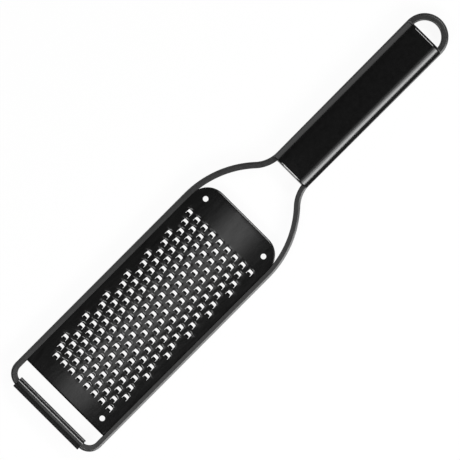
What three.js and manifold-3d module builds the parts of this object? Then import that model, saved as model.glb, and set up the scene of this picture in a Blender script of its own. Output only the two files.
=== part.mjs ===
// Coarse grater: a bent bar frame that carries a toothed blade, a handle of two shells and a foot.
// Millimetres, +Z up, +X towards the hanging loop. The origin lies under the middle of the length,
// on the plane that the handle and the foot rest on.
import * as THREE from 'three';
import { mergeGeometries, mergeVertices } from 'three/addons/utils/BufferGeometryUtils.js';
import Module from 'manifold-3d';

const wasm = await Module();
wasm.setup();

// Lengths along the tool, from the outer face of the foot to the tip of the loop
const FOOT_TO_BLADE = 16.1;
const BLADE_LENGTH = 148.1;
const NECK_LENGTH = 35.6;
const HANDLE_LENGTH = 111.6;
const LOOP_REACH = 12.6;

// Frame: one flat bar bent on edge into a closed loop
const FRAME_WIDTH = 69.1;
const HANDLE_WIDTH = 26.5;
const BAR_WIDTH = 3.6;
const BAR_HEIGHT = 4.0;
const BAR_EDGE_RADIUS = 0.6;
const CORNER_RADIUS = 9.1;
const SHOULDER_RADIUS = 59.5;
const NECK_RADIUS = 20.8;
const NECK_RUN_IN = 3.4;

// Blade: thin sheet pressed into a shallow crowned pan
const SHEET = 0.5;
const BLADE_FIT = 0.3;
const SHOULDER_FIT = 0.15;
const BLADE_CORNER_RADIUS = 11.5;
const BLADE_CROWN = 1.4;
const BLADE_EDGE_DROP = 1.0;
const BLADE_RIM = 2.4;
const ROUND_HOLE_DIAMETER = 3.28;
const ROUND_HOLE_SPACING = 47.2;
const ROUND_HOLE_FROM_TOP = 9.2;
const ROUND_HOLE_FROM_BOTTOM = 6.8;

// Teeth: tongues cut free on three sides and bent up towards the handle
const TOOTH_ROW_PITCH = 5.645;
const TOOTH_PITCH = 6.165;
const TOOTH_STAGGER = 3;
const TOOTH_TOP_MARGIN = 19.7;
const TOOTH_BOTTOM_MARGIN = 11.6;
const TOOTH_SIDE_MARGIN = 5.0;
const TOOTH_HOLE_LENGTH = 3.25;
const TOOTH_HOLE_WIDTH = 3.46;
const TONGUE_WIDTH = 2.25;
const TONGUE_REACH = 1.75;
const TONGUE_RISE = 1.3;
const TONGUE_BELLY = 0.15;

// Handle: two pressed shells, one above and one below the bars
const SHELL_DEPTH = 4.0;
const SHELL_WALL = 1.0;
const SHELL_CREASE_HALF_WIDTH = 11.15;
const SHELL_CREASE_HEIGHT = 2.5;
const SHELL_FLAT_HALF_WIDTH = 7.5;
const SHELL_END_RADIUS = 1.3;
const SHELL_TAB_FIT = 0.3;

// Foot: rubber clip on the end bar, with a flat sole
const FOOT_LENGTH = 52.4;
const FOOT_WALL = 0.9;
const FOOT_FIT = 0.2;
const FOOT_TOP = 1.3;
const FOOT_HOOK = 0.4;
const FOOT_HOOK_DROP = 1.7;
const FOOT_LIP = 2.0;
const FOOT_LIP_HEIGHT = 1.4;
const FOOT_EDGE_RADIUS = 0.7;

// Smoothness
const ARC_SEGMENTS = 6;
const EDGE_SEGMENTS = 2;
const HOLE_SIDES = 16;

// Finishes
const FRAME_FINISH = { color: 0x2e2e2e, roughness: 0.45, metalness: 0.5 };
const BLADE_FINISH = { color: 0x161616, roughness: 0.4, metalness: 0.5 };
const HANDLE_FINISH = { color: 0x151515, roughness: 0.3, metalness: 0.5 };
const FOOT_FINISH = { color: 0x202020, roughness: 0.6, metalness: 0 };

// Places worked out from the sizes
const OVERALL_LENGTH = FOOT_TO_BLADE + BLADE_LENGTH + NECK_LENGTH + HANDLE_LENGTH + LOOP_REACH;
const FOOT_FACE_X = -OVERALL_LENGTH / 2;
const LOOP_TIP_X = OVERALL_LENGTH / 2;
const BLADE_START_X = FOOT_FACE_X + FOOT_TO_BLADE;
const BLADE_END_X = BLADE_START_X + BLADE_LENGTH;
const HANDLE_START_X = BLADE_END_X + NECK_LENGTH;
const BAR_BOTTOM_Z = SHELL_DEPTH;
const BAR_TOP_Z = BAR_BOTTOM_Z + BAR_HEIGHT;
const BAR_HALF = BAR_WIDTH / 2;
const SIDE_Y = FRAME_WIDTH / 2 - BAR_HALF;
const NECK_Y = HANDLE_WIDTH / 2 - BAR_HALF;
const END_BAR_X = FOOT_FACE_X + FOOT_WALL + FOOT_FIT + BAR_HALF;
const LOOP_X = LOOP_TIP_X - BAR_HALF - NECK_Y;
const CORNER_BEND = CORNER_RADIUS - BAR_HALF;
const SHOULDER_ANGLE = Math.acos(1 - (SIDE_Y - NECK_Y) / (SHOULDER_RADIUS + NECK_RADIUS));
const NECK_X = HANDLE_START_X + NECK_RUN_IN;
const SHOULDER_X = NECK_X - (SHOULDER_RADIUS + NECK_RADIUS) * Math.sin(SHOULDER_ANGLE);
const BLADE_HALF = SIDE_Y - BAR_HALF - BLADE_FIT;
const BLADE_EDGE_Z = BAR_TOP_Z - BLADE_EDGE_DROP;
const BLADE_CROWN_RADIUS = (BLADE_HALF ** 2 + BLADE_CROWN ** 2) / (2 * BLADE_CROWN);
const BLADE_CROWN_Z = BLADE_EDGE_Z + BLADE_CROWN - BLADE_CROWN_RADIUS;

// How far a cutter runs past what it cuts, how close merged points lie, and a right angle
const PAST = 1;
const MERGE_DISTANCE = 1e-5;
const RIGHT = Math.PI / 2;

// A geometry as a solid that can be joined and cut
function solid(geometry) {
  const bare = geometry.clone();
  bare.deleteAttribute('normal');
  bare.deleteAttribute('uv');
  const merged = mergeVertices(bare, MERGE_DISTANCE);
  const vertProperties = new Float32Array(merged.attributes.position.array);
  const triVerts = new Uint32Array(merged.index.array);
  return new wasm.Manifold(new wasm.Mesh({ numProp: 3, vertProperties, triVerts }));
}

// A solid back as a geometry with flat faces
function geometryOf(body) {
  const mesh = body.getMesh();
  const geometry = new THREE.BufferGeometry();
  geometry.setAttribute('position', new THREE.BufferAttribute(mesh.vertProperties, mesh.numProp));
  geometry.setIndex(new THREE.BufferAttribute(mesh.triVerts, 1));
  const faceted = geometry.toNonIndexed();
  faceted.computeVertexNormals();
  return faceted;
}

// An outline in X and Y, raised from low to high
function raise(outline, low, high) {
  const options = { depth: high - low, bevelEnabled: false, curveSegments: ARC_SEGMENTS };
  return new THREE.ExtrudeGeometry(outline, options).translate(0, 0, low);
}

// An outline in Y and Z, run along X
function runAlongX(outline, start, end) {
  const turn = new THREE.Matrix4().makeBasis(
    new THREE.Vector3(0, 1, 0),
    new THREE.Vector3(0, 0, 1),
    new THREE.Vector3(1, 0, 0),
  );
  return raise(outline, start, end).applyMatrix4(turn);
}

// An outline in X and Z, run across Y with its middle on the axis
function runAcrossY(outline, width) {
  return raise(outline, -width / 2, width / 2).rotateX(RIGHT);
}

// The frame's closed centre-line, moved outwards by an offset
function frameOutline(offset) {
  const outline = new THREE.Shape();
  const angle = SHOULDER_ANGLE;
  const cornerX = END_BAR_X + CORNER_BEND;
  const cornerY = SIDE_Y - CORNER_BEND;
  const shoulderY = SIDE_Y - SHOULDER_RADIUS;
  const neckCentreY = NECK_Y + NECK_RADIUS;
  const shoulder = SHOULDER_RADIUS + offset;
  const neck = NECK_RADIUS - offset;
  outline.absarc(cornerX, -cornerY, CORNER_BEND + offset, -2 * RIGHT, -RIGHT, false);
  outline.absarc(SHOULDER_X, -shoulderY, shoulder, -RIGHT, -RIGHT + angle, false);
  outline.absarc(NECK_X, -neckCentreY, neck, RIGHT + angle, RIGHT, true);
  outline.absarc(LOOP_X, 0, NECK_Y + offset, -RIGHT, RIGHT, false);
  outline.absarc(NECK_X, neckCentreY, neck, -RIGHT, -RIGHT - angle, true);
  outline.absarc(SHOULDER_X, shoulderY, shoulder, RIGHT - angle, RIGHT, false);
  outline.absarc(cornerX, cornerY, CORNER_BEND + offset, RIGHT, 2 * RIGHT, false);
  outline.closePath();
  return outline;
}

function makeFrame() {
  const outline = frameOutline(BAR_HALF);
  outline.holes.push(frameOutline(-BAR_HALF));
  return new THREE.ExtrudeGeometry(outline, {
    depth: BAR_HEIGHT - 2 * BAR_EDGE_RADIUS,
    bevelThickness: BAR_EDGE_RADIUS,
    bevelSize: BAR_EDGE_RADIUS,
    bevelOffset: -BAR_EDGE_RADIUS,
    bevelSegments: EDGE_SEGMENTS,
    curveSegments: ARC_SEGMENTS,
  }).translate(0, 0, BAR_BOTTOM_Z + BAR_EDGE_RADIUS);
}

// The blade's plan: square at the foot end, round corners at the handle end
function bladeOutline(inset) {
  const outline = new THREE.Shape();
  const radius = BLADE_CORNER_RADIUS - inset;
  const cornerX = BLADE_END_X - BLADE_CORNER_RADIUS;
  const cornerY = BLADE_HALF - BLADE_CORNER_RADIUS;
  outline.moveTo(BLADE_START_X + inset, BLADE_HALF - inset);
  outline.lineTo(BLADE_START_X + inset, -BLADE_HALF + inset);
  outline.absarc(cornerX, -cornerY, radius, -RIGHT, 0, false);
  outline.absarc(cornerX, cornerY, radius, 0, RIGHT, false);
  outline.closePath();
  return outline;
}

// Height of the sheet's upper face at a place across the blade
function bladeTop(y) {
  return BLADE_CROWN_Z + Math.sqrt(BLADE_CROWN_RADIUS ** 2 - y ** 2);
}

// A long block with the blade's crown on top, sunk by a depth, and a flat underside
function crownedBlock(sink, low) {
  const outline = new THREE.Shape();
  const half = Math.asin(BLADE_HALF / BLADE_CROWN_RADIUS);
  outline.absarc(0, BLADE_CROWN_Z, BLADE_CROWN_RADIUS - sink, RIGHT - half, RIGHT + half, false);
  outline.lineTo(-BLADE_HALF - PAST, BLADE_EDGE_Z - sink);
  outline.lineTo(-BLADE_HALF - PAST, low);
  outline.lineTo(BLADE_HALF + PAST, low);
  outline.lineTo(BLADE_HALF + PAST, BLADE_EDGE_Z - sink);
  outline.closePath();
  return solid(runAlongX(outline, BLADE_START_X - PAST, BLADE_END_X + PAST));
}

// Root of each tooth: the foot-side edge of its hole, row by row from the handle end
function toothRoots() {
  const roots = [];
  const limit = BLADE_HALF - TOOTH_SIDE_MARGIN;
  const firstX = BLADE_END_X - TOOTH_TOP_MARGIN - TOOTH_HOLE_LENGTH;
  const lastX = BLADE_START_X + TOOTH_BOTTOM_MARGIN;
  const rows = 1 + Math.floor((firstX - lastX) / TOOTH_ROW_PITCH);
  const reach = Math.ceil(limit / TOOTH_PITCH);
  for (let row = 0; row < rows; row += 1) {
    const shift = (row % TOOTH_STAGGER) / TOOTH_STAGGER;
    for (let step = -reach; step <= reach; step += 1) {
      const y = -(step + shift) * TOOTH_PITCH;
      if (Math.abs(y) <= limit) {
        roots.push(new THREE.Vector3(firstX - row * TOOTH_ROW_PITCH, y, bladeTop(y)));
      }
    }
  }
  return roots;
}

// A tongue from its root, buried in the sheet, to its sharp edge
function tongueGeometry() {
  const buried = SHEET / 2;
  const skin = SHEET / 5;
  const outline = new THREE.Shape();
  outline.moveTo(-buried, skin - SHEET);
  outline.lineTo(TONGUE_REACH / 2, TONGUE_BELLY);
  outline.lineTo(TONGUE_REACH, TONGUE_RISE);
  outline.lineTo(-buried, -skin);
  outline.closePath();
  return runAcrossY(outline, TONGUE_WIDTH);
}

function roundHoles() {
  const y = ROUND_HOLE_SPACING / 2;
  const topX = BLADE_END_X - ROUND_HOLE_FROM_TOP;
  const bottomX = BLADE_START_X + ROUND_HOLE_FROM_BOTTOM;
  const radius = ROUND_HOLE_DIAMETER / 2;
  const height = 2 * (BLADE_RIM + BLADE_CROWN + PAST);
  const places = [[topX, y], [topX, -y], [bottomX, -y]];
  return places.map(([x, across]) => {
    const drill = new THREE.CylinderGeometry(radius, radius, height, HOLE_SIDES);
    return drill.rotateX(RIGHT).translate(x, across, BLADE_EDGE_Z);
  });
}

function makeBlade() {
  const low = BLADE_EDGE_Z - BLADE_RIM;
  const high = BLADE_EDGE_Z + BLADE_CROWN + PAST;
  const outside = solid(raise(bladeOutline(0), low - PAST, high));
  const inside = solid(raise(bladeOutline(SHEET), low - 2 * PAST, high));
  const hollow = crownedBlock(SHEET, low - PAST).intersect(inside);
  const opening = solid(raise(frameOutline(-BAR_HALF - SHOULDER_FIT), low - PAST, high));
  const pan = crownedBlock(0, low).intersect(outside).subtract(hollow).intersect(opening);
  const tongue = tongueGeometry();
  const slot = new THREE.BoxGeometry(TOOTH_HOLE_LENGTH, TOOTH_HOLE_WIDTH, 4 * SHEET);
  slot.translate(TOOTH_HOLE_LENGTH / 2, 0, -SHEET / 2);
  const roots = toothRoots();
  const slots = roots.map((root) => slot.clone().translate(root.x, root.y, root.z));
  const tongues = roots.map((root) => tongue.clone().translate(root.x, root.y, root.z));
  const pierced = pan.subtract(solid(mergeGeometries(slots)));
  const drilled = pierced.subtract(solid(mergeGeometries(roundHoles())));
  return geometryOf(drilled.add(solid(mergeGeometries(tongues))));
}

// Half of a shell's section, mirrored: flat crown, rounded shoulder, crease and steep skirt
function shellSection(rimHalf, creaseHalf, creaseHeight, depth, tabHalf, tabLow) {
  const outline = new THREE.Shape();
  const flat = SHELL_FLAT_HALF_WIDTH;
  const bend = (flat + creaseHalf) / 2;
  outline.moveTo(tabHalf, tabLow);
  outline.lineTo(tabHalf, 0);
  outline.lineTo(rimHalf, 0);
  outline.lineTo(creaseHalf, creaseHeight);
  outline.quadraticCurveTo(bend, depth, flat, depth);
  outline.lineTo(-flat, depth);
  outline.quadraticCurveTo(-bend, depth, -creaseHalf, creaseHeight);
  outline.lineTo(-rimHalf, 0);
  outline.lineTo(-tabHalf, 0);
  outline.lineTo(-tabHalf, tabLow);
  outline.closePath();
  return outline;
}

// A shell with its rim on the plane z = 0, where it sits on the bars. Its ends reach down between
// the bars to the middle of their height, where the two shells meet.
function makeShell() {
  const tabLow = -BAR_HEIGHT / 2;
  const tabHalf = NECK_Y - BAR_HALF - SHELL_TAB_FIT;
  const creaseHalf = SHELL_CREASE_HALF_WIDTH;
  const rimHalf = HANDLE_WIDTH / 2;
  const section = shellSection(rimHalf, creaseHalf, SHELL_CREASE_HEIGHT, SHELL_DEPTH, tabHalf, tabLow);
  const side = new THREE.Shape();
  const radius = SHELL_END_RADIUS;
  side.moveTo(0, tabLow - PAST);
  side.lineTo(HANDLE_LENGTH, tabLow - PAST);
  side.absarc(HANDLE_LENGTH - radius, SHELL_DEPTH - radius, radius, 0, RIGHT, false);
  side.absarc(radius, SHELL_DEPTH - radius, radius, RIGHT, 2 * RIGHT, false);
  side.closePath();
  const innerSection = shellSection(
    NECK_Y,
    creaseHalf - SHELL_WALL,
    SHELL_CREASE_HEIGHT - SHELL_WALL,
    SHELL_DEPTH - SHELL_WALL,
    NECK_Y - SHELL_WALL,
    tabLow - PAST,
  );
  const outer = solid(runAlongX(section, -PAST, HANDLE_LENGTH + PAST));
  const ends = solid(runAcrossY(side, HANDLE_WIDTH + 2 * PAST));
  const inner = solid(runAlongX(innerSection, SHELL_WALL, HANDLE_LENGTH - SHELL_WALL));
  return geometryOf(outer.intersect(ends).subtract(inner));
}

// The foot's section: a flat sole, a lip on the blade side, a channel round the bar and a domed top
function makeFoot() {
  const channelStart = FOOT_WALL;
  const channelEnd = FOOT_WALL + BAR_WIDTH + 2 * FOOT_FIT;
  const floor = BAR_BOTTOM_Z - FOOT_FIT;
  const roof = BAR_TOP_Z + FOOT_FIT;
  const lipEnd = channelEnd + FOOT_LIP;
  const lipTop = floor + FOOT_LIP_HEIGHT;
  const hookEnd = channelEnd + FOOT_HOOK;
  const hookLow = roof - FOOT_HOOK_DROP;
  const top = roof + FOOT_TOP;
  const radius = FOOT_EDGE_RADIUS;
  const outline = new THREE.Shape();
  outline.absarc(radius, radius, radius, 2 * RIGHT, 3 * RIGHT, false);
  outline.absarc(lipEnd - radius, radius, radius, -RIGHT, 0, false);
  outline.absarc(lipEnd - radius, lipTop - radius, radius, 0, RIGHT, false);
  outline.lineTo(channelEnd, lipTop);
  outline.lineTo(channelEnd, floor);
  outline.lineTo(channelStart, floor);
  outline.lineTo(channelStart, roof);
  outline.lineTo(channelEnd, roof);
  outline.lineTo(channelEnd, hookLow);
  outline.lineTo(hookEnd, hookLow);
  outline.lineTo(hookEnd, roof);
  outline.quadraticCurveTo(hookEnd, top, (channelStart + hookEnd) / 2, top);
  outline.quadraticCurveTo(0, top, 0, BAR_TOP_Z - BAR_EDGE_RADIUS);
  outline.closePath();
  return runAcrossY(outline, FOOT_LENGTH);
}

function add(group, name, geometry, finish) {
  const mesh = new THREE.Mesh(geometry, new THREE.MeshStandardMaterial(finish));
  mesh.name = name;
  group.add(mesh);
  return mesh;
}

const grater = new THREE.Group();
const shell = makeShell();

add(grater, 'frame', makeFrame(), FRAME_FINISH);
add(grater, 'blade', makeBlade(), BLADE_FINISH);

const upper = add(grater, 'handle_upper_shell', shell, HANDLE_FINISH);
upper.position.set(HANDLE_START_X, 0, BAR_TOP_Z);

const lower = add(grater, 'handle_lower_shell', shell.clone(), HANDLE_FINISH);
lower.position.set(HANDLE_START_X, 0, BAR_BOTTOM_Z);
lower.rotation.x = Math.PI;

const foot = add(grater, 'foot', makeFoot(), FOOT_FINISH);
foot.position.x = FOOT_FACE_X;

export default grater;
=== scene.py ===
"""Looks of the coarse grater: camera, light, finishes and the finer forms of its five pieces.

Shapes are worked out in millimetres in the part's own frame (+X from the foot to the loop, +Z up on
the side of the teeth) and become metres when a mesh is made.
"""

import math

import bmesh
import bpy
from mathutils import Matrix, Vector
from mathutils.geometry import delaunay_2d_cdt


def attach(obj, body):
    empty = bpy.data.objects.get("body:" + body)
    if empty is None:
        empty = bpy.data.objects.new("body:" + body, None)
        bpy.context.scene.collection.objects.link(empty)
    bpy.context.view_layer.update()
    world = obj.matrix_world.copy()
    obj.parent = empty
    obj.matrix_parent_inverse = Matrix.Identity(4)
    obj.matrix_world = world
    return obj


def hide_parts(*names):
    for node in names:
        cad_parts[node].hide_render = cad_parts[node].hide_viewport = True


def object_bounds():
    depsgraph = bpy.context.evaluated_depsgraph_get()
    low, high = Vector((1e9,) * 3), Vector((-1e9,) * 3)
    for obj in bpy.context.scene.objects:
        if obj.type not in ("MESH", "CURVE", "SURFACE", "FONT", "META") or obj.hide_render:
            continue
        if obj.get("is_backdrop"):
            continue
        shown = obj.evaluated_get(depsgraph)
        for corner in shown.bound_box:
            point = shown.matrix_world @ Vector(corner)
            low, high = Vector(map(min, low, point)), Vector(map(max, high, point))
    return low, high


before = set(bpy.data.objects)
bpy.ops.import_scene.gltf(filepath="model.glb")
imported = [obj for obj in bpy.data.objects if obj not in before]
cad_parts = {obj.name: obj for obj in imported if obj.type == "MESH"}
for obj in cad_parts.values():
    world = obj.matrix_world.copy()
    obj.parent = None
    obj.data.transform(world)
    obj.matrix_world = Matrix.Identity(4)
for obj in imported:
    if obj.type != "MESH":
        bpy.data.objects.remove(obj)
CAD_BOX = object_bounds()

MM = 0.001

# Driving sizes of the part, in millimetres
FOOT_TO_BLADE = 16.1
BLADE_LENGTH = 148.1
NECK_LENGTH = 35.6
HANDLE_LENGTH = 111.6
LOOP_REACH = 12.6
FRAME_WIDTH = 69.1
HANDLE_WIDTH = 26.5
OVERALL_LENGTH = FOOT_TO_BLADE + BLADE_LENGTH + NECK_LENGTH + HANDLE_LENGTH + LOOP_REACH

# Bar of the frame
BAR_WIDTH = 3.6
BAR_HEIGHT = 4.0
BAR_COAT = 0.12
BAR_CHAMFER = 1.15
BAR_CHAMFER_TURN = 27.0
BAR_CHAMFER_BLEND = 0.12
BAR_BLEND_DROP = 0.05
BAR_INNER_CHAMFER = 0.3
BAR_REBATE = 0.36
BAR_REBATE_DEPTH = 2.1
LOOP_SWELL = 0.42
LOOP_INNER_ROUND = 0.9
CORNER_RADIUS = 9.1
END_BAR_SET = 0.5
SHOULDER_RADIUS = 59.5
NECK_RADIUS = 20.8
NECK_RUN_IN = 3.4
BAR_BOTTOM = 4.0
BAR_TOP = BAR_BOTTOM + BAR_HEIGHT
BAR_HALF = BAR_WIDTH / 2

# Handle shells
SHELL_DEPTH = 4.0
SHELL_WALL = 1.0
SHELL_FLAT = 6.0
SHELL_CROWN = 0.12
SHELL_TURN = 45.0
SHELL_SKIRT_ROUND = 0.5
SHELL_COAT = 0.04
SHELL_NEAR_FACETS = (0.48, 0.78)
SHELL_FAR_FACETS = (0.95, 0.52)
SHELL_FIRST_TURN = 17.5
SHELL_FACET_BLEND = 0.05
SHELL_NEAR_TURN = 62.0
SHELL_FAR_TURN = 38.0
TAB_FIT = 0.3
TAB_SEAM = 0.02

# Blade sheet and its teeth
SHEET = 0.5
BLADE_CROWN = 1.4
BLADE_EDGE_Z = 7.0
BLADE_CORNER_RADIUS = 12.5
BLADE_RIM = 2.4
SIDE_RIM = 0.28
RIM_FROM = 0.75
RIM_LEAST = 0.05
SIDE_LAP = 0.32
SIDE_LIP = 0.3
BOTTOM_LIP = 0.95
BOTTOM_LAP = 0.1
TOP_LIP = 1.35
SIDE_LIP_TURN = 42.0
TOP_LIP_TURN = 42.0
ROUND_HOLE_RADIUS = 1.64
ROUND_HOLE_SPACING = 47.2
ROUND_HOLE_FROM_TOP = 9.2
ROUND_HOLE_FROM_BOTTOM = 6.8
TOOTH_ROW_PITCH = 5.645
TOOTH_PITCH = 6.165
TOOTH_STAGGER = 3
TOOTH_TOP_MARGIN = 19.7
TOOTH_BOTTOM_MARGIN = 11.6
TOOTH_SIDE_MARGIN = 5.3
TOOTH_HOLE_LENGTH = 3.25
TONGUE_REACH = 1.40
TONGUE_RISE = 1.02
TONGUE_TIP_SHEET = 0.12

# Rubber foot
FOOT_LENGTH = 52.4
FOOT_WIDTH = 6.75
FOOT_WALL = 0.9
FOOT_TOP = 9.6
# How the top of the foot turns down towards the blade: (distance from its outer face, degrees)
FOOT_TURNS = (
    (0.0, -40.0), (0.5, -40.0), (0.5, -3.5), (1.5, -3.5), (2.4, -2.5), (3.0, 2.0), (3.5, 8.0), (4.0, 17.0),
    (4.5, 23.5), (4.8, 27.0), (5.1, 38.0), (5.55, 44.0),
)
FOOT_HOOK_TIP = 5.55
FOOT_HOOK_LOW = 6.5
FOOT_CHANNEL_LOW = 3.8
FOOT_CHANNEL_HIGH = 8.2
FOOT_CHANNEL_WIDTH = 4.3
FOOT_LIP_HIGH = 5.2
FOOT_LIP_EDGE = (0.6, 0.61)
FOOT_LIP_SLOPE = (0.55, 0.2)
FOOT_LIP_TOP = 0.02
FOOT_NICK = 0.1
FOOT_BEVEL = 0.25
FOOT_EDGE_ROUND = 0.7

# Places that follow from the sizes
FOOT_FACE_X = -OVERALL_LENGTH / 2
BLADE_START_X = FOOT_FACE_X + FOOT_TO_BLADE
BLADE_END_X = BLADE_START_X + BLADE_LENGTH
HANDLE_START_X = BLADE_END_X + NECK_LENGTH
HANDLE_END_X = HANDLE_START_X + HANDLE_LENGTH
LOOP_TIP_X = OVERALL_LENGTH / 2
SIDE_Y = FRAME_WIDTH / 2 - BAR_HALF
NECK_Y = HANDLE_WIDTH / 2 - BAR_HALF
CORNER_BEND = CORNER_RADIUS - BAR_HALF
END_BAR_X = FOOT_FACE_X + FOOT_WALL + END_BAR_SET + BAR_HALF
LOOP_X = LOOP_TIP_X - BAR_HALF - NECK_Y
NECK_X = HANDLE_START_X + NECK_RUN_IN
BEND_SUM = SHOULDER_RADIUS + NECK_RADIUS
SHOULDER_TURN = math.degrees(math.acos(1 - (SIDE_Y - NECK_Y) / BEND_SUM))
SHOULDER_X = NECK_X - BEND_SUM * math.sin(math.radians(SHOULDER_TURN))
BLADE_HALF = SIDE_Y - BAR_HALF + SIDE_LAP
CROWN_RADIUS = (BLADE_HALF ** 2 + BLADE_CROWN ** 2) / (2 * BLADE_CROWN)


# Meshes

def piece_from(name, verts, faces, material, node, sharp=35.0, modifiers=()):
    """Makes one piece of the object from points in millimetres."""
    bm = bmesh.new()
    made = [bm.verts.new(Vector(v) * MM) for v in verts]
    for face in faces:
        bm.faces.new([made[i] for i in face])
    bmesh.ops.recalc_face_normals(bm, faces=bm.faces)
    limit = math.radians(sharp)
    for face in bm.faces:
        face.smooth = True
    for edge in bm.edges:
        edge.smooth = edge.calc_face_angle(math.pi) < limit
    mesh = bpy.data.meshes.new(name)
    bm.to_mesh(mesh)
    bm.free()
    piece = bpy.data.objects.new(name, mesh)
    bpy.context.scene.collection.objects.link(piece)
    mesh.materials.append(material)
    for kind, settings in modifiers:
        modifier = piece.modifiers.new(kind.title(), kind)
        for key, value in settings.items():
            setattr(modifier, key, value)
    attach(piece, "root")
    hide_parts(node)
    return piece


def skin(rings, closed_along, closed_round):
    """Joins rings of the same number of points into quads."""
    count = len(rings[0])
    verts = [p for ring in rings for p in ring]
    faces = []
    for i in range(len(rings) if closed_along else len(rings) - 1):
        a, b = i * count, (i + 1) % len(rings) * count
        for j in range(count if closed_round else count - 1):
            k = (j + 1) % count
            faces.append((a + j, b + j, b + k, a + k))
    return verts, faces


def arc(cx, cy, radius, start, end, steps, sign=1):
    """Points on an arc with their normals, as (x, y, nx, ny)."""
    points = []
    for i in range(steps + 1):
        a = math.radians(start + (end - start) * i / steps)
        c, s = math.cos(a), math.sin(a)
        points.append((cx + radius * c, cy + radius * s, sign * c, sign * s))
    return points


# Frame

def frame_path():
    """The bar's centre line, anticlockwise from the foot corner, with its outward normal."""
    low = arc(END_BAR_X + CORNER_BEND, CORNER_BEND - SIDE_Y, CORNER_BEND, 180, 270, 16)
    turn = SHOULDER_TURN
    low += arc(SHOULDER_X, SHOULDER_RADIUS - SIDE_Y, SHOULDER_RADIUS, -90, turn - 90, 24)
    low += arc(NECK_X, -NECK_Y - NECK_RADIUS, NECK_RADIUS, 90 + turn, 90, 14, -1)[1:]
    loop = arc(LOOP_X, 0, NECK_Y, -90, 90, 48)
    high = [(x, -y, nx, -ny) for x, y, nx, ny in reversed(low)]
    return low + loop + high


def inner_edge(on_loop, rebate):
    """Inner edge of the bar as (offset, drop): round on the loop, with a rebate for the blade's edge on
    the upper side elsewhere, and a small chamfer below."""
    steps = 6
    if on_loop:
        r = LOOP_INNER_ROUND
        return [(r - BAR_HALF + x, r - y) for x, y, _, _ in arc(0, 0, r, 90, 180, steps)]
    if rebate:
        wall = BAR_REBATE - BAR_HALF
        drops = [BAR_REBATE_DEPTH * i / (steps - 1) for i in range(steps)]
        return [(wall, drop) for drop in drops] + [(-BAR_HALF, BAR_REBATE_DEPTH)]
    runs = [BAR_INNER_CHAMFER * i / steps for i in range(steps + 1)]
    return [(BAR_INNER_CHAMFER - run - BAR_HALF, run) for run in runs]


def bar_section(on_loop):
    """Section of the bar as (offset to the outside, height), with chamfered outer edges."""
    edge = BAR_HALF + BAR_COAT + (LOOP_SWELL if on_loop else 0.0)
    start = edge - BAR_CHAMFER
    drop = BAR_CHAMFER * math.tan(math.radians(BAR_CHAMFER_TURN))
    points = [(edge, BAR_BOTTOM + drop), (edge, BAR_TOP - drop)]
    blend, low = BAR_CHAMFER_BLEND, BAR_BLEND_DROP
    points += [(start + blend, BAR_TOP - low), (start - blend, BAR_TOP)]
    points += [(o, BAR_TOP - down) for o, down in inner_edge(on_loop, True)]
    points += [(o, BAR_BOTTOM + down) for o, down in reversed(inner_edge(on_loop, False))]
    return points + [(start - blend, BAR_BOTTOM), (start + blend, BAR_BOTTOM + low)]


def make_frame(material):
    rings = []
    for x, y, nx, ny in frame_path():
        section = bar_section(x >= LOOP_X - 0.01)
        rings.append([(x + nx * o, y + ny * o, z) for o, z in section])
    verts, faces = skin(rings, True, True)
    weighted = ("WEIGHTED_NORMAL", {"keep_sharp": True})
    return piece_from("frame_bar", verts, faces, material, "frame",
                      modifiers=(weighted,))


# Handle

def shell_section(inset):
    """Section of a shell above its rim: nearly flat crown, shoulders that turn down ever more
    steeply and a short upright skirt. It shrinks by the inset on all sides."""
    half, flat = HANDLE_WIDTH / 2 + SHELL_COAT, SHELL_FLAT
    turn, skirt = math.radians(SHELL_TURN), SHELL_SKIRT_ROUND
    edge = half - skirt * (1 - math.sin(turn))
    points = []
    y, z, steps = flat, SHELL_DEPTH - SHELL_CROWN, 18
    step = (edge - flat) / steps
    for i in range(steps):
        y += step
        z -= step * math.tan(turn * (i + 0.5) / steps)
        points.append((y, z))
    low = z - skirt * math.cos(turn)
    corner = arc(half - skirt, low, skirt, 90 - SHELL_TURN, 0, 4)[1:]
    side = [(half, 0.0)] + [p[:2] for p in reversed(corner)] + list(reversed(points))
    for i in range(8):
        t = 1 - i / 8
        side.append((flat * t, SHELL_DEPTH - SHELL_CROWN * t * t))
    whole = side + [(0.0, SHELL_DEPTH)] + [(-y, z) for y, z in reversed(side)]
    narrow, shallow = 1 - inset / half, 1 - inset / SHELL_DEPTH
    return [(y * narrow, z * shallow) for y, z in whole]


def end_stations(facets, turn):
    """How a shell's end turns down in two facets: (distance from the end, inset of the section)."""
    first, last = math.tan(math.radians(SHELL_FIRST_TURN)), math.tan(math.radians(turn))
    steep, gentle = facets
    blend = SHELL_FACET_BLEND
    return [
        (0.0, gentle * first + steep * last),
        (steep - blend, gentle * first + blend * last),
        (steep + blend, (gentle - blend) * first),
        (steep + gentle - blend, blend * first),
        (steep + gentle + blend, 0.0),
    ]


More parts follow.
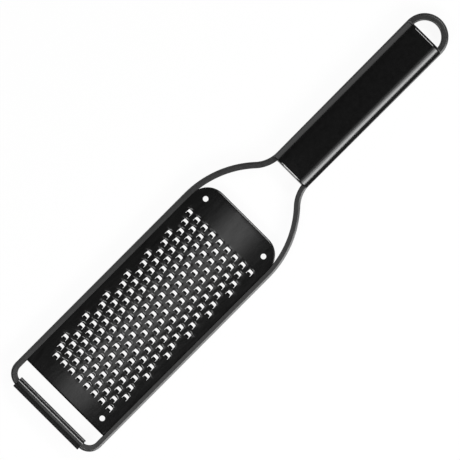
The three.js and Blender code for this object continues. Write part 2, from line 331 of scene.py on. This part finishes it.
def make_shell(name, node, material, rim_z, up):
    near = end_stations(SHELL_NEAR_FACETS, SHELL_NEAR_TURN)
    far = end_stations(SHELL_FAR_FACETS, SHELL_FAR_TURN)
    stations = [(HANDLE_START_X + run, inset) for run, inset in near]
    stations += [(HANDLE_START_X + HANDLE_LENGTH * i / 12, 0.0) for i in range(1, 12)]
    stations += [(HANDLE_END_X - run, inset) for run, inset in reversed(far)]
    rings = []
    for x, inset in stations:
        rings.append([(x, y, rim_z + up * z) for y, z in shell_section(inset)])
    verts, faces = skin(rings, False, False)
    count = len(rings[0])
    tab = NECK_Y - BAR_HALF - TAB_FIT
    drop = rim_z - up * (BAR_HEIGHT / 2 - TAB_SEAM)
    for start, x in ((0, HANDLE_START_X), ((len(rings) - 1) * count, HANDLE_END_X)):
        corner = len(verts)
        verts += [(x, -tab, rim_z), (x, -tab, drop), (x, tab, drop), (x, tab, rim_z)]
        faces.append(tuple(range(start, start + count)) + tuple(range(corner, corner + 4)))
    wall = ("SOLIDIFY", {"thickness": SHELL_WALL * MM, "offset": -1.0})
    weighted = ("WEIGHTED_NORMAL", {"keep_sharp": True})
    return piece_from(name, verts, faces, material, node, modifiers=(wall, weighted))


# Blade

def blade_top(y):
    """Height of the crowned sheet at a distance from the axis."""
    drop = CROWN_RADIUS - math.sqrt(CROWN_RADIUS ** 2 - y * y)
    return BLADE_EDGE_Z + BLADE_CROWN - drop


def tooth_roots():
    limit = BLADE_HALF - TOOTH_SIDE_MARGIN
    first = BLADE_END_X - TOOTH_TOP_MARGIN - TOOTH_HOLE_LENGTH
    last = BLADE_START_X + TOOTH_BOTTOM_MARGIN
    rows = 1 + int((first - last) / TOOTH_ROW_PITCH)
    reach = math.ceil(limit / TOOTH_PITCH)
    roots = []
    for row in range(rows):
        shift = row % TOOTH_STAGGER / TOOTH_STAGGER
        for step in range(-reach, reach + 1):
            y = -(step + shift) * TOOTH_PITCH
            if abs(y) <= limit:
                roots.append((first - row * TOOTH_ROW_PITCH, y))
    return roots


# One side of a tooth's opening from the tongue's root round to the middle of the far edge, as
# (along, across, how far the sheet is pressed down there)
TOOTH_EDGE = (
    (-0.10, 1.42, 0.0), (-0.15, 1.52, 0.0), (-0.10, 1.61, 0.0), (0.10, 1.63, 0.0),
    (1.20, 1.59, 0.0), (2.35, 1.53, 0.02), (2.78, 1.47, 0.12), (2.97, 1.30, 0.30),
    (3.07, 0.75, 0.56), (3.12, 0.00, 0.64),
)
# The pressed slope beyond the far edge
TOOTH_SLOPE = (
    (3.88, 0.0, 0.17), (3.84, 0.75, 0.135), (3.40, 1.45, 0.08),
    (4.16, 0.0, 0.085), (4.12, 0.80, 0.065), (4.5, 0.0, 0.014), (4.45, 0.75, 0.01),
    (4.85, 0.0, 0.0), (4.72, 0.9, 0.0), (3.95, 1.6, 0.0),
)
# The tongue's rows from root to tip, as (part of its reach, half width, part of its rise)
TONGUE_ROWS = (
    (0.0, 1.38, 0.0), (0.18, 1.37, 0.02), (0.45, 1.35, 0.34), (0.70, 1.32, 0.64), (0.87, 1.20, 0.84),
    (1.0, 0.95, 1.0),
)
TONGUE_COLUMNS = (-1.0, -0.5, 0.0, 0.5, 1.0)
TONGUE_TIP_BOW = 0.1


def mirrored(points):
    """The points and, of those off the axis, their mirror images, from one side to the other."""
    other = [(x, -y, d) for x, y, d in points if y > 0]
    return list(points), other


def blade_outline():
    """The sheet's outline, anticlockwise from the bottom right corner, with its normal."""
    half, radius = BLADE_HALF, BLADE_CORNER_RADIUS
    straight_end = BLADE_END_X - radius
    start = BLADE_START_X - BOTTOM_LAP
    side_steps, end_steps, top_steps = 60, 32, 20
    outline = []
    for i in range(side_steps):
        x = start + (straight_end - start) * i / side_steps
        outline.append((x, -half, -1.0 if i == 0 else 0.0, -1.0))
    outline += arc(straight_end, radius - half, radius, -90, 0, 12)
    for i in range(1, top_steps):
        outline.append((BLADE_END_X, (half - radius) * (2 * i / top_steps - 1), 1.0, 0.0))
    outline += arc(straight_end, half - radius, radius, 0, 90, 12)
    for i in range(side_steps - 1, -1, -1):
        x = start + (straight_end - start) * i / side_steps
        outline.append((x, half, -1.0 if i == 0 else 0.0, 1.0))
    for i in range(1, end_steps):
        outline.append((start, half * (1 - 2 * i / end_steps), -1.0, 0.0))
    return outline


class Sheet:
    """Collects the flat pattern of the blade: its points, how far each is pressed down, and the edges that
    must stay.
    """

    def __init__(self):
        self.points = []
        self.press = []
        self.edges = []

    def add(self, x, y, press=0.0):
        self.points.append((x, y))
        self.press.append(press)
        return len(self.points) - 1

    def loop(self, indices):
        for i, a in enumerate(indices):
            self.edges.append((a, indices[(i + 1) % len(indices)]))


def inside(point, polygon):
    x, y = point
    hit = False
    for i, (ax, ay) in enumerate(polygon):
        bx, by = polygon[i - 1]
        if (ay > y) != (by > y) and x < (bx - ax) * (y - ay) / (by - ay) + ax:
            hit = not hit
    return hit


def round_hole_places():
    top = BLADE_END_X - ROUND_HOLE_FROM_TOP
    bottom = BLADE_START_X + ROUND_HOLE_FROM_BOTTOM
    y = ROUND_HOLE_SPACING / 2
    return ((top, y), (top, -y), (bottom, -y))


def lip_of(nx):
    """Width and turn of the bent edge: soft at the handle end, tight elsewhere."""
    share = max(0.0, nx)
    width = SIDE_LIP + (TOP_LIP - SIDE_LIP) * share
    if nx < -0.5:
        width = BOTTOM_LIP
    turn = SIDE_LIP_TURN + (TOP_LIP_TURN - SIDE_LIP_TURN) * share
    return width, math.radians(turn)


def blade_surface():
    """Flat pattern of the blade's top face: its points and rim, its outline, its holes and the roots of
    its tongues.
    """
    flat = Sheet()
    rim = []
    outline = blade_outline()
    for x, y, nx, ny in outline:
        width, _ = lip_of(nx)
        rim.append(flat.add(x - nx * width, y - ny * width))
    flat.loop(rim)
    holes = []
    tongue_roots = []
    for rx, ry in tooth_roots():
        side, other = mirrored(TOOTH_EDGE)
        root = [flat.add(rx, ry + c * TONGUE_ROWS[0][1]) for c in TONGUE_COLUMNS]
        left = [flat.add(rx + a, ry + b, d) for a, b, d in side]
        right = [flat.add(rx + a, ry + b, d) for a, b, d in reversed(other)]
        loop = root + left + right
        flat.loop(loop)
        holes.append([flat.points[i] for i in loop])
        tongue_roots.append((rx, ry, root))
        for part in mirrored(TOOTH_SLOPE):
            for a, b, d in part:
                flat.add(rx + a, ry + b, d)
    for hx, hy in round_hole_places():
        loop = [flat.add(x, y) for x, y, _, _ in arc(hx, hy, ROUND_HOLE_RADIUS, 0, 345, 23)]
        flat.loop(loop)
        holes.append([flat.points[i] for i in loop])
    fill_grid(flat, [flat.points[i] for i in rim])
    return flat, rim, outline, holes, tongue_roots


def fill_grid(flat, rim):
    """Adds plain points between the holes, so that the sheet follows its crown."""
    taken = list(flat.points)
    step = 2.0
    clear = 1.1
    cells = {}
    for x, y in taken:
        cells.setdefault((round(x / step), round(y / step)), []).append((x, y))
    roots = tooth_roots()
    columns = int(BLADE_LENGTH / step)
    rows = int(2 * BLADE_HALF / step)
    for i in range(1, columns):
        for j in range(1, rows + 1):
            x = BLADE_START_X + i * step
            y = -BLADE_HALF + j * step
            if not inside((x, y), rim):
                continue
            key = (round(x / step), round(y / step))
            near = [p for a in (-1, 0, 1) for b in (-1, 0, 1)
                    for p in cells.get((key[0] + a, key[1] + b), ())]
            if any((x - px) ** 2 + (y - py) ** 2 < clear ** 2 for px, py in near):
                continue
            if any(-0.5 < x - rx < 4.8 and abs(y - ry) < 1.9 for rx, ry in roots):
                continue
            flat.add(x, y)


def make_blade(material):
    flat, rim, outline, holes, tongue_roots = blade_surface()
    found = delaunay_2d_cdt([Vector(p) for p in flat.points], flat.edges, [], 0, 1e-5)
    spots, _, triangles, sources = found[:4]
    place = {}
    for new, olds in enumerate(sources):
        for old in olds:
            place[old] = new
    press = [0.0] * len(spots)
    for old, new in place.items():
        press[new] = max(press[new], flat.press[old])
    top = [(p.x, p.y, blade_top(p.y) - press[i]) for i, p in enumerate(spots)]
    thick = [SHEET] * len(top)
    border = [flat.points[i] for i in rim]
    hole_boxes = []
    for hole in holes:
        xs, ys = [p[0] for p in hole], [p[1] for p in hole]
        hole_boxes.append((min(xs), max(xs), min(ys), max(ys), hole))
    faces = []
    for tri in triangles:
        cx = sum(spots[i].x for i in tri) / 3
        cy = sum(spots[i].y for i in tri) / 3
        if not inside((cx, cy), border):
            continue
        if any(a < cx < b and c < cy < d and inside((cx, cy), hole)
               for a, b, c, d, hole in hole_boxes):
            continue
        faces.append(tuple(tri))
    for rx, ry, root in tongue_roots:
        add_tongue(top, thick, faces, rx, ry, [place[i] for i in root])
    add_lip(top, thick, faces, outline, [place[i] for i in rim])
    verts, faces = thicken(top, thick, faces)
    return piece_from("blade_sheet", verts, faces, material, "blade")


def add_tongue(top, thick, faces, rx, ry, root):
    row = root
    for part, half, rise in TONGUE_ROWS[1:]:
        fresh = []
        for c in TONGUE_COLUMNS:
            y = ry + c * half
            x = rx + TONGUE_REACH * part - TONGUE_TIP_BOW * part * c * c
            top.append((x, y, blade_top(y) + TONGUE_RISE * rise))
            thick.append(SHEET + (TONGUE_TIP_SHEET - SHEET) * max(0.0, part - 0.5) * 2)
            fresh.append(len(top) - 1)
        for j in range(len(row) - 1):
            faces.append((row[j], fresh[j], fresh[j + 1], row[j + 1]))
        row = fresh


def add_lip(top, thick, faces, outline, rim):
    steps = 5
    row = rim
    for step in range(1, steps + 2):
        fresh = []
        for (x, y, nx, ny), start in zip(outline, rim):
            width, turn = lip_of(nx)
            bend = width / math.sin(turn)
            share = min(step, steps) / steps
            a = turn * share
            out = bend * math.sin(a) - width
            z = top[start][2] - bend * (1 - math.cos(a))
            if nx < -0.5:
                out = width * (share - 1)
                z = top[start][2] - width * share * math.tan(turn)
            if step > steps:
                deep = abs(nx) > RIM_FROM and abs(ny) < RIM_FROM
                z = min(z - RIM_LEAST, BLADE_EDGE_Z - (BLADE_RIM if deep else SIDE_RIM))
            top.append((x + nx * out, y + ny * out, z))
            thick.append(SHEET)
            fresh.append(len(top) - 1)
        count = len(row)
        for j in range(count):
            k = (j + 1) % count
            faces.append((row[j], fresh[j], fresh[k], row[k]))
        row = fresh


def thicken(top, thick, faces):
    """Gives a one-sided sheet its thickness: an underside and walls along all its free edges."""
    normals = [Vector((0, 0, 0)) for _ in top]
    uses = {}
    for face in faces:
        points = [Vector(top[i]) for i in face]
        normal = (points[1] - points[0]).cross(points[-1] - points[0])
        for i in face:
            normals[i] += normal
        for i, a in enumerate(face):
            b = face[(i + 1) % len(face)]
            uses[(a, b)] = uses.get((a, b), 0) + 1
    count = len(top)
    verts = list(top)
    for point, normal, t in zip(top, normals, thick):
        away = normal.normalized() if normal.length > 0 else Vector((0, 0, 1))
        verts.append(tuple(Vector(point) - away * t))
    solid = list(faces)
    solid += [tuple(i + count for i in reversed(face)) for face in faces]
    for a, b in uses:
        if (b, a) not in uses:
            solid.append((b, a, a + count, b + count))
    return verts, solid


# Foot

def foot_section():
    """Section of the rubber clip as (inward from its outer face, height), anticlockwise."""
    edge = FOOT_EDGE_ROUND
    channel_end = FOOT_WALL + FOOT_CHANNEL_WIDTH
    points = [p[:2] for p in arc(edge, edge, edge, 180, 270, 5)]
    points += [p[:2] for p in arc(FOOT_WIDTH - edge, edge, edge, 270, 360, 5)]
    lip, nick = FOOT_LIP_HIGH, FOOT_NICK
    edge_run, edge_drop = FOOT_LIP_EDGE
    flat_run, slope_drop = FOOT_LIP_SLOPE
    points += [(FOOT_WIDTH, lip - edge_drop), (FOOT_WIDTH - edge_run, lip - slope_drop)]
    points += [(channel_end + flat_run, lip - FOOT_LIP_TOP)]
    points += [(channel_end + nick, lip), (channel_end, lip - nick)]
    points += [(channel_end, FOOT_CHANNEL_LOW), (FOOT_WALL, FOOT_CHANNEL_LOW)]
    points += [(FOOT_WALL, FOOT_CHANNEL_HIGH), (channel_end, FOOT_CHANNEL_HIGH)]
    points += [(channel_end, FOOT_HOOK_LOW), (FOOT_HOOK_TIP - nick, FOOT_HOOK_LOW)]
    points += [(FOOT_HOOK_TIP, FOOT_HOOK_LOW + nick)]
    return points + list(reversed(foot_back()))


def foot_back():
    """Top of the clip from its outer edge to the hook's tip: it rises a little, then rolls over."""
    spots = [(0.0, 0.0)]
    x, z = 0.0, 0.0
    for (start, first), (end, last) in zip(FOOT_TURNS, FOOT_TURNS[1:]):
        if end == start:
            continue
        for i in range(4):
            turn = math.radians(first + (last - first) * (i + 0.5) / 4)
            x += (end - start) / 4
            z -= (end - start) / 4 * math.tan(turn)
            spots.append((x, z))
    top = max(z for _, z in spots)
    return [(x, FOOT_TOP + z - top) for x, z in spots]


def make_foot(material):
    rings = []
    half = FOOT_LENGTH / 2
    section = foot_section()
    for y in (-half, -half * 0.5, 0.0, half * 0.5, half):
        rings.append([(FOOT_FACE_X + x, y, z) for x, z in section])
    verts, faces = skin(rings, False, True)
    count = len(section)
    faces.append(tuple(range(count)))
    faces.append(tuple(range(len(verts) - count, len(verts))))
    soften = ("BEVEL", {"width": FOOT_BEVEL * MM, "segments": 3, "limit_method": "ANGLE",
                        "angle_limit": math.radians(60), "harden_normals": False})
    weighted = ("WEIGHTED_NORMAL", {"keep_sharp": True})
    return piece_from("foot_clip", verts, faces, material, "foot", sharp=25.0,
                      modifiers=(soften, weighted))


# Finishes

def new_material(name):
    material = bpy.data.materials.new(name)
    material.use_nodes = True
    tree = material.node_tree
    tree.nodes.clear()
    output = tree.nodes.new("ShaderNodeOutputMaterial")
    return material, tree, output


def noise(tree, vector, scale, detail, rough=0.55):
    node = tree.nodes.new("ShaderNodeTexNoise")
    node.inputs["Scale"].default_value = scale
    node.inputs["Detail"].default_value = detail
    node.inputs["Roughness"].default_value = rough
    tree.links.new(vector, node.inputs["Vector"])
    return node.outputs["Fac"]


def ramp(tree, value, low, high, dark, light):
    """Colour between two tones, by a value between two marks."""
    node = tree.nodes.new("ShaderNodeValToRGB")
    first, last = node.color_ramp.elements
    first.position, last.position = low, high
    first.color = (*dark, 1)
    last.color = (*light, 1)
    tree.links.new(value, node.inputs["Fac"])
    return node.outputs["Color"]


def span(tree, value, low, high):
    """Number between two limits, by a value from 0.3 to 0.7."""
    node = tree.nodes.new("ShaderNodeMapRange")
    node.inputs["From Min"].default_value = 0.3
    node.inputs["From Max"].default_value = 0.7
    node.inputs["To Min"].default_value = low
    node.inputs["To Max"].default_value = high
    tree.links.new(value, node.inputs["Value"])
    return node.outputs["Result"]


def coating(name, dark, light, rough, specular, grain, bump, stretch=(1, 1, 1)):
    """Black finish with fine grain in its tone, its gloss and its surface."""
    material, tree, output = new_material(name)
    nodes, links = tree.nodes, tree.links
    shader = nodes.new("ShaderNodeBsdfPrincipled")
    links.new(shader.outputs["BSDF"], output.inputs["Surface"])
    shader.inputs["Specular IOR Level"].default_value = specular
    place = nodes.new("ShaderNodeTexCoord").outputs["Object"]
    mapping = nodes.new("ShaderNodeMapping")
    mapping.inputs["Scale"].default_value = stretch
    links.new(place, mapping.inputs["Vector"])
    drawn = mapping.outputs["Vector"]
    tone = noise(tree, drawn, grain * 0.25, 5)
    links.new(ramp(tree, tone, 0.3, 0.7, dark, light), shader.inputs["Base Color"])
    gloss = noise(tree, drawn, grain * 0.6, 3)
    links.new(span(tree, gloss, rough[0], rough[1]), shader.inputs["Roughness"])
    relief = nodes.new("ShaderNodeBump")
    relief.inputs["Strength"].default_value = bump
    relief.inputs["Distance"].default_value = 0.03 * MM
    links.new(noise(tree, place, grain, 2), relief.inputs["Height"])
    links.new(relief.outputs["Normal"], shader.inputs["Normal"])
    return material


def grey(value):
    return (value, value, value)


def floor_material():
    """White to the camera and in reflections, with a part that still takes the shadow."""
    material, tree, output = new_material("floor_white")
    nodes, links = tree.nodes, tree.links
    path = nodes.new("ShaderNodeLightPath")
    seen = nodes.new("ShaderNodeMath")
    seen.operation = "MAXIMUM"
    links.new(path.outputs["Is Camera Ray"], seen.inputs[0])
    links.new(path.outputs["Is Glossy Ray"], seen.inputs[1])
    through = nodes.new("ShaderNodeMath")
    through.operation = "MAXIMUM"
    links.new(seen.outputs[0], through.inputs[0])
    links.new(path.outputs["Is Transmission Ray"], through.inputs[1])
    share = nodes.new("ShaderNodeMath")
    share.operation = "MULTIPLY"
    share.inputs[1].default_value = FLOOR_GLOW
    links.new(through.outputs[0], share.inputs[0])
    matt = nodes.new("ShaderNodeBsdfDiffuse")
    matt.inputs["Color"].default_value = (0.8, 0.8, 0.8, 1)
    glow = nodes.new("ShaderNodeEmission")
    glow.inputs["Strength"].default_value = 1.0
    mix = nodes.new("ShaderNodeMixShader")
    links.new(share.outputs[0], mix.inputs["Fac"])
    links.new(matt.outputs[0], mix.inputs[1])
    links.new(glow.outputs[0], mix.inputs[2])
    links.new(mix.outputs[0], output.inputs["Surface"])
    return material


# Stage

FLOOR_GAP = 0.3
FLOOR_HALF = 6.0
FLOOR_GLOW = 0.93
WORLD_DIM = 0.05


def make_floor():
    half, low = FLOOR_HALF, -FLOOR_GAP * MM
    mesh = bpy.data.meshes.new("floor")
    corners = [(-half, -half, low), (half, -half, low), (half, half, low), (-half, half, low)]
    mesh.from_pydata(corners, [], [(0, 1, 2, 3)])
    floor = bpy.data.objects.new("floor", mesh)
    bpy.context.scene.collection.objects.link(floor)
    mesh.materials.append(floor_material())
    floor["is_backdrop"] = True


def make_world():
    """White to the camera, dim studio to everything else."""
    world = bpy.data.worlds.new("studio")
    bpy.context.scene.world = world
    world.use_nodes = True
    tree = world.node_tree
    tree.nodes.clear()
    output = tree.nodes.new("ShaderNodeOutputWorld")
    path = tree.nodes.new("ShaderNodeLightPath")
    dim = tree.nodes.new("ShaderNodeBackground")
    dim.inputs["Color"].default_value = (1, 1, 1, 1)
    dim.inputs["Strength"].default_value = WORLD_DIM
    white = tree.nodes.new("ShaderNodeBackground")
    white.inputs["Color"].default_value = (1, 1, 1, 1)
    mix = tree.nodes.new("ShaderNodeMixShader")
    tree.links.new(path.outputs["Is Camera Ray"], mix.inputs["Fac"])
    tree.links.new(dim.outputs[0], mix.inputs[1])
    tree.links.new(white.outputs[0], mix.inputs[2])
    tree.links.new(mix.outputs[0], output.inputs["Surface"])


def softbox(name, spot, aim, size, radiance):
    """Rectangular lamp, its longer side level, of a given brightness as seen in a reflection."""
    data = bpy.data.lights.new(name, "AREA")
    data.shape = "RECTANGLE"
    data.size, data.size_y = size
    data.energy = radiance * math.pi * size[0] * size[1]
    lamp = bpy.data.objects.new(name, data)
    bpy.context.scene.collection.objects.link(lamp)
    lamp.location = spot
    lamp.rotation_mode = "QUATERNION"
    lamp.rotation_quaternion = (Vector(aim) - Vector(spot)).to_track_quat("-Z", "Y")
    lamp.visible_camera = False
    return lamp


def tilted(name, side, tilt, distance, size, radiance):
    """Softbox on one side of the object, at an angle from straight above it."""
    a = math.radians(tilt)
    out = {"-y": Vector((0, -1, 0)), "+y": Vector((0, 1, 0))}[side]
    spot = out * distance * math.sin(a) + Vector((0, 0, distance * math.cos(a)))
    return softbox(name, spot, (0, 0, 0.01), size, radiance)


def make_lights():
    tilted("key_right", "-y", 55.0, 1.0, (1.2, 0.28), 8.0)
    tilted("key_right_middle", "-y", 41.0, 1.0, (1.2, 0.21), 3.0)
    tilted("key_right_top", "-y", 28.0, 1.0, (1.2, 0.24), 0.5)
    softbox("fill_handle_side", (0.69, 0.0, 0.80), (0.0, 0.0, 0.01), (0.45, 0.22), 14.0)
    softbox("fill_foot_side", (-0.575, 0.0, 0.87), (0.0, 0.0, 0.01), (0.45, 0.20), 13.0)
    softbox("fill_left", (0.0, 0.95, 0.38), (0.0, 0.0, 0.01), (1.3, 0.6), 1.0)
    softbox("overhead", (-0.074, -0.007, 0.30), (-0.074, -0.007, 0.0), (0.186, 0.054), 1.55)


# Camera at the photo's view: straight above, the tool lying across the picture

VIEW_WIDTH = 265.9
VIEW_CENTRE = (-9.8, 0.92)
VIEW_TURN = -45.107
LENS = 300.0
SENSOR = 36.0


def make_camera():
    data = bpy.data.cameras.new("camera")
    data.lens = LENS
    data.sensor_width = SENSOR
    camera = bpy.data.objects.new("camera", data)
    bpy.context.scene.collection.objects.link(camera)
    distance = VIEW_WIDTH * LENS / SENSOR + BAR_TOP
    camera.location = (VIEW_CENTRE[0] * MM, VIEW_CENTRE[1] * MM, distance * MM)
    camera.rotation_euler = (0, 0, math.radians(VIEW_TURN))
    data.clip_start, data.clip_end = 0.01, 50
    bpy.context.scene.camera = camera


def make_object():
    bar = coating("frame_satin_black", grey(0.014), grey(0.022), (0.28, 0.36), 0.6, 2600, 0.2)
    sheet = coating("blade_black", grey(0.002), grey(0.004), (0.16, 0.22), 0.6, 1500, 0.05, (0.15, 1, 1))
    shell = coating("handle_black", grey(0.002), grey(0.004), (0.14, 0.18), 0.7, 1400, 0.05)
    rubber = coating("foot_rubber_black", grey(0.002), grey(0.004), (0.15, 0.2), 0.5, 3200, 0.06)
    make_frame(bar)
    make_blade(sheet)
    make_shell("handle_upper", "handle_upper_shell", shell, BAR_TOP, 1)
    make_shell("handle_lower", "handle_lower_shell", shell, BAR_BOTTOM, -1)
    make_foot(rubber)


bpy.context.scene.view_settings.view_transform = "Standard"
make_camera()
make_world()
make_lights()
make_floor()
make_object()

boxes = {"cad": CAD_BOX, "visual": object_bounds()}
boxes = {name: [list(corner) for corner in box] for name, box in boxes.items()}
